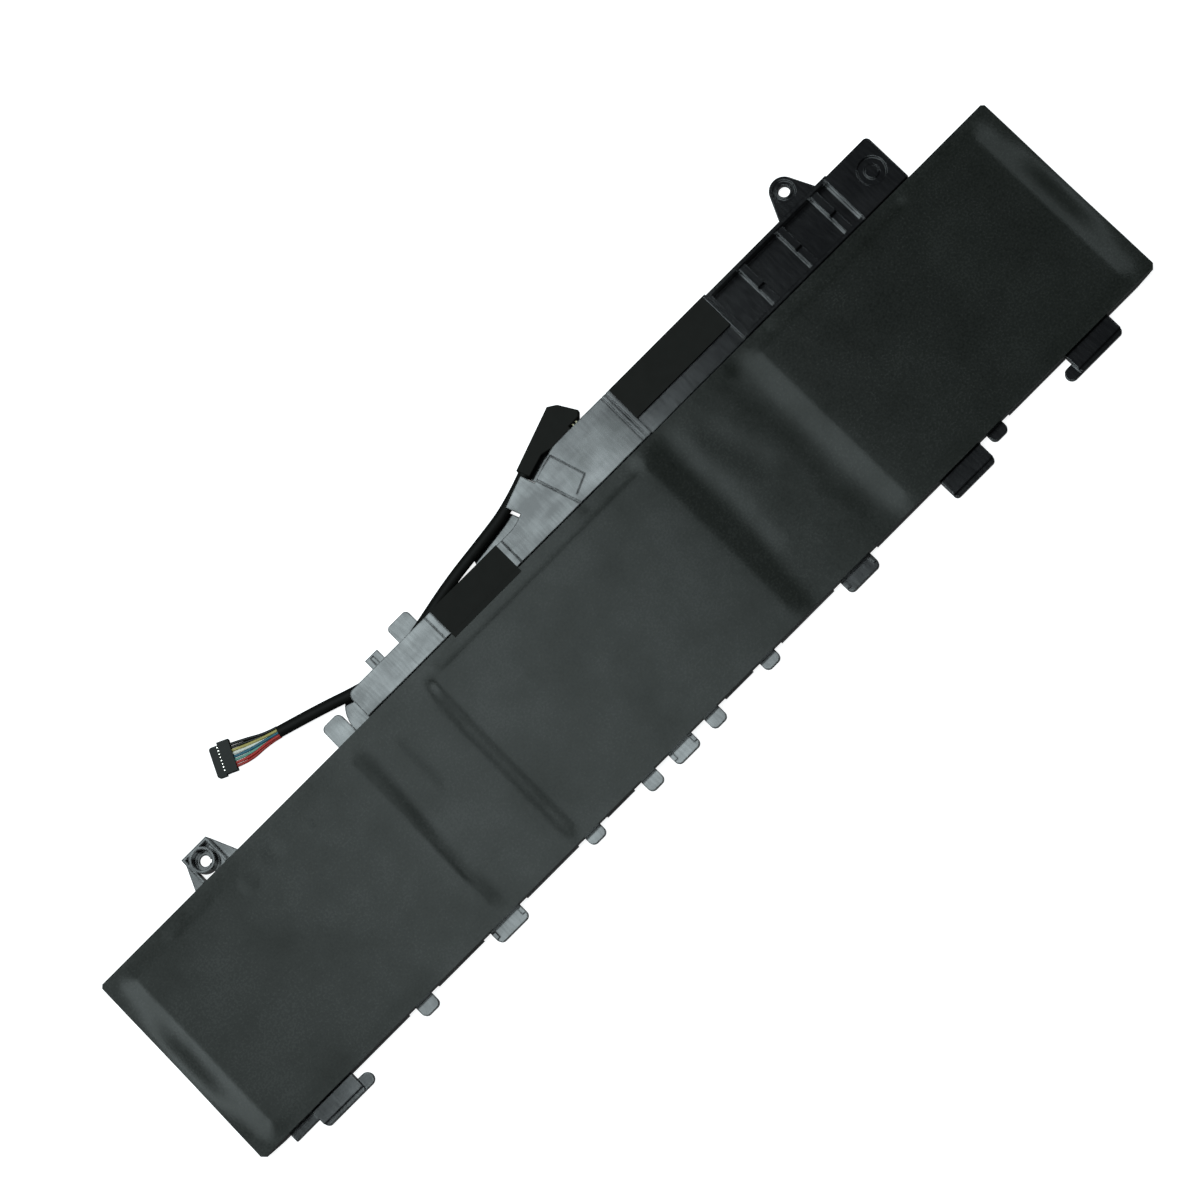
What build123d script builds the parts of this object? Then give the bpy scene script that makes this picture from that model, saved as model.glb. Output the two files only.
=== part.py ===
from build123d import *
import os
from math import atan, cos, pi, radians, sin, tan

os.makedirs("parts", exist_ok=True)

# All sizes are in millimetres. Places are measured along the pack (x) and across it (y) from the corner of
# the wrap at its left end on the side of the locating tabs, and upwards (z) from the hidden side.

# Films, glue and cells
film_thickness = 0.15
glue_thickness = 0.2
cell_length = 75.6
cell_width = 51.0
cell_thickness = 5.1
cell_side_gap = 3.0
cell_edge_radius = 0.8
cell_corner_radius = 1.5
cell_shoulder = 1.0
terrace_length = 5.0
terrace_thickness = 0.4
fold_width = 0.7
fold_height = 3.0
end_bay = 6.5
left_bay = 26.0
right_bay = 36.2
far_gap = 4.0

# Wrap
wrap_corner = 1.3
shoulder_drop = 0.5
shoulder_run = 2.5
end_slope_run = 6.0
end_slope_half_width = 25.0
under_slope_run = 6.2
under_slope_rise = 3.0
wrap_clearance = 0.05

# Frame moulding: rails and cross members
rail_width = 1.4
foot_height = 2.2
member_width = 7.0
member_clearance = 0.8
member_web = 1.2
member_floor = 1.0
member_rib = 0.8
member_rib_count = 4
member_drop = 0.9

# Electronics housing
seam = 0.4
wall = 0.9
roof = 0.8
floor = 0.8
housing_top = 5.0
duct_margin = 0.5
duct_length = 26.4
duct_depth = 7.35
duct_corner = 1.8
strip_length = 1.9
tape_section_length = 22.7
wide_depth = 14.9
slant_start = 6.2
slant_run = 20.1
slant_radius = 12.0
pad_offset = 5.3
pad_drop = 0.7
ledge_drop = 1.1
ledge_depth = 5.1
tray_offset = 1.1
tray_length = 41.0
tray_depth = 14.6
tray_top = 4.7
tray_wall = 1.0
tray_rib_places = (11.0, 23.9, 35.7)
tray_rib_width = 2.2
tray_rib_drop = 0.8
tray_slot_place = 6.2
tray_slot_width = 0.7
end_block_length = 14.8
end_block_corner = 1.3
recess_radius = 3.6
recess_depth = 0.7
recess_place = (9.6, 7.2)
fan_run = 4.9
fan_depth = 7.8
post_radius = 0.7
post_inset = 6.0
fine_groove = 0.25
broad_groove = 0.45
groove_depth = 0.3
lug_place = 21.0
lug_width = 6.8
lug_reach = 5.6
lug_radius = 1.2
clip_place = 8.5
clip_width = 4.1
clip_reach = 3.6
clip_height = 1.2
clip_wall = 0.5
clip_slot = (1.4, 2.4)
side_tab_place = 7.7
side_tab_width = 5.9
side_tab_reach = 6.9

# Board and what is on it
board_thickness = 0.8
board_height = 1.5
board_clearance = 0.3
arm_depth = 2.1
link_thickness = 0.2
link_width = 2.5
link_gap = 1.0
tab_run = 5.4
tab_thickness = 0.15
tab_width = 8.0
low_tab_place = 12.0
high_tab_place = 37.0
slot_clearance = 0.15
thermistor_offset = 5.1
bead_length = 3.0
bead_depth = 1.0
bead_height = 1.2
leg_width = 0.8

# Tapes and pads
tape_lap = 1.2
tape_turn = 0.6
pad_thickness = 0.8
root_tape_height = 3.3
root_tape_edge = 0.3

# Screw ears
ear_1_place = (38.9, 4.4)
ear_1_box = (3.7, 4.6, 3.45)
ear_1_spread = 3.5
ear_1_top = 4.9
ear_1_wall = 0.7
ear_1_tube_radius = 3.25
ear_1_head_radius = 2.55
ear_1_bore_radius = 1.4
ear_1_floor = 1.0
ear_1_slit = 0.9
ear_1_slit_turn = -42.0
ear_2_place = (32.6, 19.7)
ear_2_radius = 3.7
ear_2_bore_radius = 1.5
ear_2_top = 2.2
ear_2_base = 12.9
ear_2_ring = 2.8
ear_2_rim = 0.5

# Lead and connector
sleeve_diameter = 3.0
sleeve_height = 2.55
sleeve_outwards = 3.9
wire_diameter = 0.6
wire_count = 8
wire_row_gap = 0.6
wire_column_gap = 0.34
wire_clearance = 0.06
joint_pitch = 1.05
joint_gap = 0.9
joint_reach = 1.5
contact_pitch = 0.8
contact_width = 0.35
contact_length = 0.7
contact_height = 0.3
connector_place = (61.4, 18.2)
connector_turn = 65.0
plug_rear = (-3.4, 3.9, 3.5, 2.2)
plug_front = (-3.5, 3.1, 2.4, 1.6)

# Places that follow from the sizes above
cell_starts = (end_bay, end_bay + cell_length + left_bay)
cell_starts = cell_starts + (cell_starts[1] + cell_length + right_bay,)
wrap_length = cell_starts[2] + cell_length + end_bay
wrap_width = cell_side_gap + cell_width + far_gap
pack_height = 2 * film_thickness + glue_thickness + cell_thickness
rail_top = pack_height - film_thickness - shoulder_drop
shoulder_height = pack_height - shoulder_drop
cell_bottom = film_thickness + glue_thickness
cell_top = cell_bottom + cell_thickness
rail_setback = film_thickness + wrap_clearance
left_cell_end = cell_starts[0] + cell_length
middle_cell_end = cell_starts[1] + cell_length
left_lane = left_cell_end + terrace_length + tab_run
left_member = left_lane + 2 * link_width + link_gap + member_clearance
middle_web = middle_cell_end + (right_bay - member_web) / 2
housing_y = wrap_width + seam
duct_start = left_lane - duct_margin
strip_start = duct_start + duct_length
tape_start = strip_start + strip_length
wide_start = tape_start + tape_section_length
shell_start = wide_start - wall
pad_start = middle_cell_end + pad_offset
tray_start = cell_starts[2] + tray_offset
end_block_start = tray_start + tray_length
housing_end = end_block_start + end_block_length
duct_y = housing_y + duct_depth
wide_y = housing_y + wide_depth
tray_y = housing_y + tray_depth
link_bottom = board_height - link_thickness
ear_1_x = ear_1_place[0]
ear_1_y = wrap_width + ear_1_place[1]
ear_2_x = tray_start + ear_2_place[0]
ear_2_y = housing_y + ear_2_place[1]

# Locating tabs on the free long side: place along the pack from its left end, its middle or its right end,
# width, reach and height. Tongues are low and rounded, hooks are square, and stops are deep blocks.
middle_x = wrap_length / 2
tongues = (
    (53.6, 5.2, 3.3, 1.8),
    (middle_x - 40.1, 5.0, 2.6, 1.8),
    (middle_x - 21.2, 4.8, 3.5, 1.8),
    (middle_x + 0.1, 4.8, 3.5, 1.8),
    (middle_x + 19.1, 4.9, 2.6, 1.8),
    (wrap_length - 54.6, 5.0, 2.5, 1.8),
)
hooks = (
    (81.2, 9.8, 3.6, 2.1),
    (middle_x - 10.5, 7.8, 3.5, 2.1),
    (middle_x + 49.1, 10.0, 3.7, 2.1),
)
stops = (
    (22.6, 13.0, 5.3, 3.4),
    (wrap_length - 66.4, 13.2, 5.6, 3.4),
    (wrap_length - 23.4, 14.2, 5.4, 3.4),
)
stop_wall = 1.1
notch_width = 2.4
notch_depth = 0.8
tongue_radius = 1.4
end_tongue = (12.2, 7.7, 2.3, 1.9)
nub_radius = 1.7
nub_height = 1.3

# Places beside the housing's slanted wall: distance along it from its lower corner, and outwards from it
panel_corners = ((12.8, 0.4), (19.6, -0.6), (18.9, -10.3), (13.6, -10.6))
flange_corners = (
    (-12.6, 4.3),
    (-11.0, 6.5),
    (-4.0, 5.8),
    (4.0, 6.1),
    (12.0, 5.4),
    (24.0, 5.0),
    (29.5, 3.5),
    (31.0, -1.8),
    (29.9, -3.8),
    (20.5, -0.3),
    (0.5, -0.5),
)
lip_opening = ((3.1, 0.2), (12.5, 0.2), (12.5, 4.2), (3.1, 4.2))
lip_corners = ((3.6, -0.5), (12.0, -0.5), (12.0, 4.0), (3.6, 4.0))
root_tape_corners = (
    (19.0, 1.7),
    (12.9, 2.1),
    (12.9, 5.7),
    (30.2, 5.5),
    (31.7, 3.4),
    (32.6, -1.9),
)

# The pack stands on its hidden side, with its origin under the middle of its box.
y_low = -max(reach for place, width, reach, height in stops)
y_high = ear_2_y + ear_2_radius
origin_x = -wrap_length / 2
origin_y = -(y_low + y_high) / 2


def level(height):
    """The plane at a height, with its origin under the corner that places are measured from."""
    return Plane((origin_x, origin_y, height))


def block(x0, x1, y0, y1, z0, z1, mode=Mode.ADD):
    """A straight block between two corners."""
    with Locations((origin_x + x0, origin_y + y0, z0)):
        Box(x1 - x0, y1 - y0, z1 - z0, align=Align.MIN, mode=mode)


def post(x, y, radius, z0, z1, mode=Mode.ADD):
    """A round post or bore that stands on a place."""
    with Locations((origin_x + x, origin_y + y, z0)):
        Cylinder(radius, z1 - z0, align=(Align.CENTER, Align.CENTER, Align.MIN), mode=mode)


def plate(points, z0, z1, mode=Mode.ADD, corner=0):
    """A flat plate with straight sides, its corners rounded where a radius is given."""
    with BuildSketch(level(z0)) as outline:
        with BuildLine():
            Polyline(*points, close=True)
        make_face()
        if corner:
            fillet(outline.vertices(), corner)
    extrude(outline.sketch, amount=z1 - z0, mode=mode)


def finish(piece, name):
    """Names a finished piece and writes it."""
    piece.label = name
    export_step(piece, f"parts/{name}.step")


# Wrap: the film lies low on the rails, rises over each cell and slopes down to the end rails. There the
# slope is widest at the middle of the end and dies out at its corners.


def end_slopes(inset):
    """The two wide cones that cut the slopes at the ends."""
    radius = (end_slope_half_width**2 + end_slope_run**2) / (2 * end_slope_run)
    steepness = shoulder_run / shoulder_drop
    low = rail_top - shoulder_run
    lift = pack_height - low
    with BuildPart() as cones:
        for edge, side in ((end_bay, -1), (wrap_length - end_bay, 1)):
            with Locations((origin_x + edge + side * radius, origin_y + wrap_width / 2, low - inset)):
                Cone(
                    radius - lift * steepness,
                    radius + lift * steepness,
                    2 * lift,
                    align=(Align.CENTER, Align.CENTER, Align.MIN),
                )
    return cones.part


def wrap_form(inset):
    """The wrap's outer shape, moved in by inset."""
    slopes = end_slopes(inset)
    with BuildPart() as form:
        with BuildSketch(level(foot_height)):
            with Locations((wrap_length / 2, wrap_width / 2)):
                RectangleRounded(wrap_length - 2 * inset, wrap_width - 2 * inset, wrap_corner - inset)
        extrude(amount=shoulder_height - inset - foot_height)
        for start in cell_starts:
            centre = (start + cell_length / 2, cell_side_gap + cell_width / 2)
            with BuildSketch(level(shoulder_height - inset)):
                with Locations(centre):
                    Rectangle(cell_length + 2 * shoulder_run, cell_width + 2 * shoulder_run)
            with BuildSketch(level(pack_height - inset)):
                with Locations(centre):
                    Rectangle(cell_length, cell_width)
            loft()
        add(slopes, mode=Mode.SUBTRACT)
    return form.part


def side_profile(points):
    """A profile seen from the free long side, run right across the pack."""
    side_plane = Plane((origin_x, origin_y + wrap_width + tray_depth, 0), x_dir=(1, 0, 0), z_dir=(0, -1, 0))
    with BuildPart() as run:
        with BuildSketch(side_plane):
            with BuildLine():
                Polyline(*points, close=True)
            make_face()
        extrude(amount=wrap_width + 2 * tray_depth)
    return run.part


under_slopes = side_profile(
    ((0, 0), (under_slope_run, 0), (under_slope_run, film_thickness), (0, under_slope_rise))
) + side_profile(
    (
        (wrap_length, 0),
        (wrap_length, under_slope_rise),
        (wrap_length - under_slope_run, film_thickness),
        (wrap_length - under_slope_run, 0),
    )
)
wrap_outside = wrap_form(0)
wrap_inside = wrap_form(film_thickness)

with BuildPart() as top_film:
    add(wrap_outside)
    add(wrap_inside, mode=Mode.SUBTRACT)
    add(under_slopes, mode=Mode.SUBTRACT)
finish(top_film.part, "top_film")

# Cells: each is a sealed pouch with rounded edges, two folded side seams and, at one end, a flat terrace
# that its tabs come out of. It is at the right end of the left and middle cells, and at the left end of the
# right cell.
cell_names = ("cell_left", "cell_middle", "cell_right")
cell_sides = (1, 1, -1)
cell_y0 = cell_side_gap
cell_y1 = cell_side_gap + cell_width
terrace_bottom = board_height - (terrace_thickness - tab_thickness) / 2

for name, start, side in zip(cell_names, cell_starts, cell_sides):
    sealed_end = start + cell_length if side > 0 else start
    with BuildPart() as cell:
        block(start, start + cell_length, cell_y0, cell_y1, cell_bottom, cell_top)
        fillet(cell.edges().filter_by(Axis.Z), cell_corner_radius)
        chamfer(cell.edges().group_by(Axis.Z)[-1], cell_shoulder)
        block(
            min(sealed_end, sealed_end + side * terrace_length) - (side > 0) * cell_edge_radius,
            max(sealed_end, sealed_end + side * terrace_length) + (side < 0) * cell_edge_radius,
            cell_y0 + cell_edge_radius,
            cell_y1 - cell_edge_radius,
            terrace_bottom,
            terrace_bottom + terrace_thickness,
        )
        for y0 in (cell_y0 - fold_width, cell_y1):
            block(
                start + 2 * cell_edge_radius,
                start + cell_length - 2 * cell_edge_radius,
                y0,
                y0 + fold_width,
                cell_bottom + cell_edge_radius,
                cell_bottom + fold_height,
            )
    finish(cell.part, name)
    with BuildPart() as glue:
        block(
            start + 2 * cell_edge_radius,
            start + cell_length - 2 * cell_edge_radius,
            cell_y0 + 2 * cell_edge_radius,
            cell_y1 - 2 * cell_edge_radius,
            film_thickness,
            cell_bottom,
        )
    finish(glue.part, name.replace("cell", "glue"))

# Tabs and links: each tab leaves its terrace and lies on a nickel link that runs up the bay, through a slot
# in the rail, and ends under the board. The low tab reaches the far lane, so the two links never cross.
link_end = housing_y + wall + board_clearance + arm_depth - slot_clearance
lanes = []

for name, start, side in zip(cell_names, cell_starts, cell_sides):
    terrace_end = start + (cell_length if side > 0 else 0) + side * terrace_length
    for lane, (sign, place) in enumerate((("positive", high_tab_place), ("negative", low_tab_place))):
        near = terrace_end + side * (tab_run + lane * (link_width + link_gap))
        far = near + side * link_width
        lanes.append((min(near, far), max(near, far)))
        with BuildPart() as link:
            block(min(near, far), max(near, far), place, link_end, link_bottom, board_height)
        finish(link.part, name.replace("cell", "link") + "_" + sign)
        with BuildPart() as tab:
            block(
                min(terrace_end, far),
                max(terrace_end, far),
                place,
                place + tab_width,
                board_height,
                board_height + tab_thickness,
            )
        finish(tab.part, name.replace("cell", "tab") + "_" + sign)


# Board: a long narrow board with an arm along the duct and a wide end where the housing is wide.
board_y = housing_y + wall + board_clearance
board_start = lanes[0][0] - board_clearance
board_end = tray_start - wall - board_clearance
board_top = board_height + board_thickness
board_wide_y = wide_y - wall - board_clearance
board_shell_y = duct_y - wall - board_clearance
board_wide_start = wide_start + slant_start + slant_run + wall
board_points = (
    (board_start, board_y),
    (board_end, board_y),
    (board_end, board_wide_y),
    (board_wide_start, board_wide_y),
    (wide_start + slant_start, board_shell_y),
    (wide_start + board_clearance, board_shell_y),
    (wide_start + board_clearance, board_y + arm_depth),
    (board_start, board_y + arm_depth),
)

with BuildPart() as board:
    plate(board_points, board_height, board_top)
finish(board.part, "board")

# What stands on the board: name, distance from its right end, distance across, length, width and height
board_parts = (
    ("gauge_chip", 14.0, 5.6, 5.0, 5.0, 0.8),
    ("protector_chip", 24.0, 5.8, 4.0, 4.0, 0.7),
    ("switch_left", 40.0, 3.2, 5.0, 4.0, 0.8),
    ("switch_right", 47.0, 3.2, 5.0, 4.0, 0.8),
    ("fuse", 56.0, 1.6, 4.0, 3.0, 0.8),
    ("shunt", 64.0, 1.6, 5.0, 2.5, 0.6),
)
for name, back, across, length, width, height in board_parts:
    with BuildPart() as chip:
        block(
            board_end - back - length,
            board_end - back,
            board_y + across,
            board_y + across + width,
            board_top,
            board_top + height,
        )
    finish(chip.part, name)

# Frame: one moulding. A broad foot carries thinner rails, which stand inside the wrap's hem. Cross members
# part the bays, and slots low in the rail let the links through to the board.
rail_y1 = wrap_width - rail_width
thermistor_x = cell_starts[1] + cell_length / 2 + thermistor_offset
link_slots = [(low - slot_clearance, high + slot_clearance) for low, high in lanes]
leg_slot = leg_width / 2 + slot_clearance
link_slots.append((thermistor_x - leg_slot, thermistor_x + leg_slot))
housing_ceiling = housing_top - roof
pad_level = housing_top - pad_drop
ledge_level = housing_top - ledge_drop
pad_ceiling = ledge_level - roof
slant_end = wide_start + slant_start + slant_run
slant_angle = atan((wide_y - duct_y) / slant_run)
joint_start = slant_end + wall
joint_end = joint_start + wire_count * joint_pitch
shown_start = joint_end - 2.5 * joint_pitch


def housing_outline(inset, height, end):
    """The outline of the housing over the board, up to a place along the pack, moved in by inset."""
    with BuildSketch(level(height)) as outline:
        with BuildLine():
            Polyline(
                (shell_start, housing_y),
                (end, housing_y),
                (end, wide_y),
                (slant_end, wide_y),
                (wide_start + slant_start, duct_y),
                (shell_start, duct_y),
                close=True,
            )
        make_face()
        fillet(outline.vertices().sort_by(Axis.X)[2:4], slant_radius)
        if inset:
            offset(amount=-inset)
    return outline.sketch


def along_slant(distance, outwards):
    """A place beside the slanted wall: a distance along it from its lower corner, and outwards from it."""
    return (
        wide_start + slant_start + distance * cos(slant_angle) - outwards * sin(slant_angle),
        duct_y + distance * sin(slant_angle) + outwards * cos(slant_angle),
    )


def groove(start, end, width, top, depth):
    """A straight groove in a face between two places."""
    run = Vector(end) - Vector(start)
    aside = Vector(-run.Y, run.X) * (width / 2 / run.length)
    corners = [
        (corner.X, corner.Y)
        for corner in (
            Vector(start) + aside,
            Vector(end) + aside,
            Vector(end) - aside,
            Vector(start) - aside,
        )
    ]
    plate(corners, top - depth, top, mode=Mode.SUBTRACT)


with BuildPart() as frame:
    # Foot and rails
    with BuildSketch(level(film_thickness)):
        with Locations((wrap_length / 2, wrap_width / 2)):
            RectangleRounded(wrap_length, wrap_width, wrap_corner)
            Rectangle(wrap_length - 2 * rail_width, wrap_width - 2 * rail_width, mode=Mode.SUBTRACT)
    extrude(amount=foot_height - film_thickness)
    with BuildSketch(level(foot_height)):
        with Locations((wrap_length / 2, wrap_width / 2)):
            RectangleRounded(
                wrap_length - 2 * rail_setback, wrap_width - 2 * rail_setback, wrap_corner - rail_setback
            )
            Rectangle(wrap_length - 2 * rail_width, wrap_width - 2 * rail_width, mode=Mode.SUBTRACT)
    extrude(amount=rail_top - foot_height)

    # Cross members
    block(
        left_member,
        left_member + member_width,
        rail_width,
        rail_y1,
        film_thickness,
        film_thickness + member_floor,
    )
    for x in (left_member, left_member + member_width - member_web, middle_web):
        block(x, x + member_web, rail_width, rail_y1, film_thickness, rail_top - member_drop)
    for number in range(member_rib_count):
        y = rail_width + (number + 0.5) * (rail_y1 - rail_width) / member_rib_count
        block(left_member, left_member + member_width, y, y + member_rib, film_thickness, foot_height)
    add(end_slopes(rail_setback), mode=Mode.SUBTRACT)

    # Seam web, which joins the foot and the housing under the wrap's hem
    block(duct_start, housing_end, rail_y1, housing_y + wall, film_thickness, foot_height - slot_clearance)

    # Cable duct: floor, inner wall and roof, open on its outer side
    block(duct_start, wide_start, housing_y, duct_y, film_thickness, film_thickness + floor)
    block(duct_start, wide_start, housing_y, housing_y + wall, film_thickness, housing_top)
    with BuildSketch(level(housing_ceiling)) as duct_roof:
        with BuildLine():
            Polyline(
                (duct_start, housing_y),
                (wide_start, housing_y),
                (wide_start, duct_y),
                (duct_start, duct_y),
                close=True,
            )
        make_face()
        fillet(duct_roof.vertices().sort_by(Axis.X)[:2].sort_by(Axis.Y)[-1], duct_corner)
    extrude(amount=roof)
    with BuildSketch(level(film_thickness)):
        with Locations((duct_start, housing_y)):
            Ellipse(fan_run, fan_depth)
        with Locations((duct_start, rail_y1)):
            Rectangle(3 * fan_run, 3 * fan_depth, align=(Align.MIN, Align.CENTER), mode=Mode.SUBTRACT)
            Rectangle(3 * fan_run, 3 * fan_depth, align=(Align.CENTER, Align.MAX), mode=Mode.SUBTRACT)
    extrude(amount=floor)

    # Housing over the board: a shell that is open underneath, with posts that press the board down
    extrude(housing_outline(0, film_thickness, tray_start + wall), amount=housing_top - film_thickness)
    extrude(
        housing_outline(wall, film_thickness, tray_start),
        amount=pad_ceiling - film_thickness,
        mode=Mode.SUBTRACT,
    )
    extrude(
        housing_outline(wall, pad_ceiling, pad_start),
        amount=housing_ceiling - pad_ceiling,
        mode=Mode.SUBTRACT,
    )
    block(pad_start, tray_start, housing_y, wide_y + wall, pad_level, housing_top, mode=Mode.SUBTRACT)
    block(
        pad_start,
        tray_start,
        housing_y - seam,
        housing_y + ledge_depth,
        ledge_level,
        housing_top,
        mode=Mode.SUBTRACT,
    )
    for x in (tape_start + post_inset, wide_start + post_inset, pad_start - post_inset):
        post(x, board_y + post_radius + slot_clearance, post_radius, board_top, housing_ceiling)
    post(
        tray_start - post_inset,
        board_y + post_radius + slot_clearance,
        post_radius,
        board_top,
        pad_ceiling,
    )

    # Ways through its walls: for the board's arm, for the links and for the wires of the lead
    block(
        shell_start - slot_clearance,
        wide_start + slot_clearance,
        board_y - slot_clearance,
        board_y + arm_depth + slot_clearance,
        board_height - slot_clearance,
        board_top + slot_clearance,
        mode=Mode.SUBTRACT,
    )
    for low, high in link_slots:
        block(
            low,
            high,
            rail_y1 - slot_clearance,
            housing_y + wall + slot_clearance,
            link_bottom - slot_clearance,
            board_height + slot_clearance,
            mode=Mode.SUBTRACT,
        )
    block(
        joint_start - slot_clearance,
        joint_end + slot_clearance,
        wide_y - wall - slot_clearance,
        wide_y + slot_clearance,
        board_top - slot_clearance,
        board_top + wire_diameter + slot_clearance,
        mode=Mode.SUBTRACT,
    )

    # Grooves in the housing's top
    for x in (strip_start, tape_start):
        groove((x, housing_y - seam), (x, duct_y + wall), fine_groove, housing_top, groove_depth)
    groove(
        (wide_start + 1.7, housing_y - seam), (wide_start + 1.7, duct_y + wall),
        fine_groove, housing_top, groove_depth,
    )
    groove(
        along_slant(12.8, 1.0), (wide_start + 22.0, housing_y - seam),
        broad_groove, housing_top, groove_depth,
    )
    panel = [along_slant(distance, outwards) for distance, outwards in panel_corners]
    for start, end in zip(panel, panel[1:]):
        groove(start, end, fine_groove, housing_top, groove_depth)
    for x in (pad_start - 2.6, pad_start - 1.3):
        groove((x, housing_y - seam), (x, wide_y + seam), broad_groove, housing_top, groove_depth)

    # Low flange outside the slanted wall, and the lip that holds the lead down on it
    plate(
        [along_slant(distance, outwards) for distance, outwards in flange_corners],
        film_thickness, film_thickness + floor,
    )
    plate(
        [along_slant(distance, outwards) for distance, outwards in lip_opening],
        film_thickness - seam, film_thickness + floor + seam, mode=Mode.SUBTRACT,
    )
    plate(
        [along_slant(distance, outwards) for distance, outwards in lip_corners],
        housing_ceiling, housing_top,
    )

    # Lug and clip on the duct's floor
    with BuildSketch(level(film_thickness)) as lug:
        with Locations((duct_start + lug_place, duct_y - wall)):
            Rectangle(lug_width, lug_reach + wall, align=(Align.CENTER, Align.MIN))
        fillet(lug.vertices().group_by(Axis.Y)[-1], lug_radius)
    extrude(amount=floor)
    clip_x = duct_start + clip_place
    clip_top = film_thickness + clip_height
    block(clip_x, clip_x + clip_width, duct_y - wall, duct_y + clip_reach, film_thickness, clip_top)
    block(clip_x, clip_x + clip_width, duct_y - clip_wall, duct_y, film_thickness, housing_ceiling)
    block(
        clip_x + clip_slot[0],
        clip_x + clip_slot[1],
        duct_y + clip_wall,
        duct_y + clip_reach - clip_wall,
        film_thickness + floor,
        clip_top,
        mode=Mode.SUBTRACT,
    )

    # Side tab left of the duct
    with BuildSketch(level(film_thickness)) as side_tab:
        with Locations((duct_start - side_tab_place, wrap_width - slot_clearance)):
            Rectangle(side_tab_width, side_tab_reach + slot_clearance, align=(Align.CENTER, Align.MIN))
        fillet(side_tab.vertices().group_by(Axis.Y)[-1], tongue_radius)
    extrude(amount=foot_height - 2 * slot_clearance)

    # Ribbed tray: open on top, its cross ribs parted by a slot along the middle
    block(tray_start, end_block_start + tray_wall, housing_y, tray_y, film_thickness, tray_top)
    block(
        tray_start + 2 * tray_wall,
        end_block_start,
        housing_y + tray_wall,
        tray_y - tray_wall,
        film_thickness + floor,
        tray_top,
        mode=Mode.SUBTRACT,
    )
    for place in tray_rib_places:
        block(
            tray_start + place,
            tray_start + place + tray_rib_width,
            housing_y + tray_wall,
            tray_y - tray_wall,
            film_thickness + floor,
            tray_top - tray_rib_drop,
        )
    block(
        tray_start + 2 * tray_wall,
        end_block_start,
        housing_y + tray_slot_place,
        housing_y + tray_slot_place + tray_slot_width,
        foot_height,
        tray_top,
        mode=Mode.SUBTRACT,
    )

    # End block: hollow underneath, with a round recess and a boss in its top
    with BuildSketch(level(film_thickness)) as end_block:
        with Locations((end_block_start, housing_y)):
            Rectangle(end_block_length, tray_depth - seam, align=Align.MIN)
        fillet(end_block.vertices().sort_by(Axis.X)[2:].sort_by(Axis.Y)[-1], end_block_corner)
    extrude(amount=housing_top - film_thickness)
    block(
        end_block_start + wall,
        housing_end - wall,
        housing_y + wall,
        tray_y - seam - wall,
        film_thickness,
        housing_top - recess_depth - roof,
        mode=Mode.SUBTRACT,
    )
    recess_x = end_block_start + recess_place[0]
    recess_y = housing_y + recess_place[1]
    post(recess_x, recess_y, recess_radius, housing_top - recess_depth, housing_top, mode=Mode.SUBTRACT)
    post(recess_x, recess_y, recess_radius / 2, housing_top - recess_depth, housing_top - recess_depth / 2)

    # Screw ear on the left: a box of thin walls round a tube that takes the screw's head
    box_left, box_right, box_reach = ear_1_box
    plate(
        [
            (ear_1_x - box_left - ear_1_spread, wrap_width - slot_clearance),
            (ear_1_x - box_left, ear_1_y + box_reach),
            (ear_1_x + box_right, ear_1_y + box_reach),
            (ear_1_x + box_right + ear_1_spread, wrap_width - slot_clearance),
        ],
        film_thickness, film_thickness + ear_1_floor,
    )
    ear_1_back = ear_1_y + box_reach
    ear_1_seat = film_thickness + ear_1_floor
    for x in (ear_1_x - box_left, ear_1_x + box_right - ear_1_wall):
        block(x, x + ear_1_wall, wrap_width + wrap_clearance, ear_1_back, film_thickness, ear_1_top)
        block(x, x + ear_1_wall, rail_y1, ear_1_y, film_thickness, foot_height - slot_clearance)
    block(
        ear_1_x - box_left,
        ear_1_x + box_right,
        ear_1_back - ear_1_wall,
        ear_1_back,
        film_thickness,
        ear_1_top,
    )
    block(
        ear_1_x - box_left + ear_1_wall,
        ear_1_x,
        wrap_width + wrap_clearance,
        ear_1_y - seam,
        film_thickness - seam,
        ear_1_seat,
        mode=Mode.SUBTRACT,
    )
    post(ear_1_x, ear_1_y, ear_1_tube_radius, film_thickness, ear_1_top)
    post(ear_1_x, ear_1_y, ear_1_head_radius, ear_1_seat, ear_1_top, mode=Mode.SUBTRACT)
    post(ear_1_x, ear_1_y, ear_1_bore_radius, film_thickness, ear_1_seat, mode=Mode.SUBTRACT)
    with BuildSketch(level(film_thickness)):
        with Locations(Location((ear_1_x, ear_1_y, 0), (0, 0, ear_1_slit_turn))):
            Rectangle(ear_1_head_radius, ear_1_slit, align=(Align.MIN, Align.CENTER))
    extrude(amount=ear_1_floor, mode=Mode.SUBTRACT)

    # Screw ear on the tray: a flat eye with a shallow ring round its bore
    with BuildSketch(level(film_thickness)):
        with Locations((ear_2_x, ear_2_y)):
            Circle(ear_2_radius)
        with Locations((ear_2_x, tray_y)):
            Rectangle(ear_2_base, seam, align=(Align.CENTER, Align.MAX))
        make_hull()
    extrude(amount=ear_2_top - film_thickness)
    post(ear_2_x, ear_2_y, ear_2_ring, ear_2_top - groove_depth, ear_2_top, mode=Mode.SUBTRACT)
    post(ear_2_x, ear_2_y, ear_2_bore_radius + ear_2_rim, ear_2_top - groove_depth, ear_2_top)
    post(ear_2_x, ear_2_y, ear_2_bore_radius, film_thickness, ear_2_top, mode=Mode.SUBTRACT)

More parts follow.
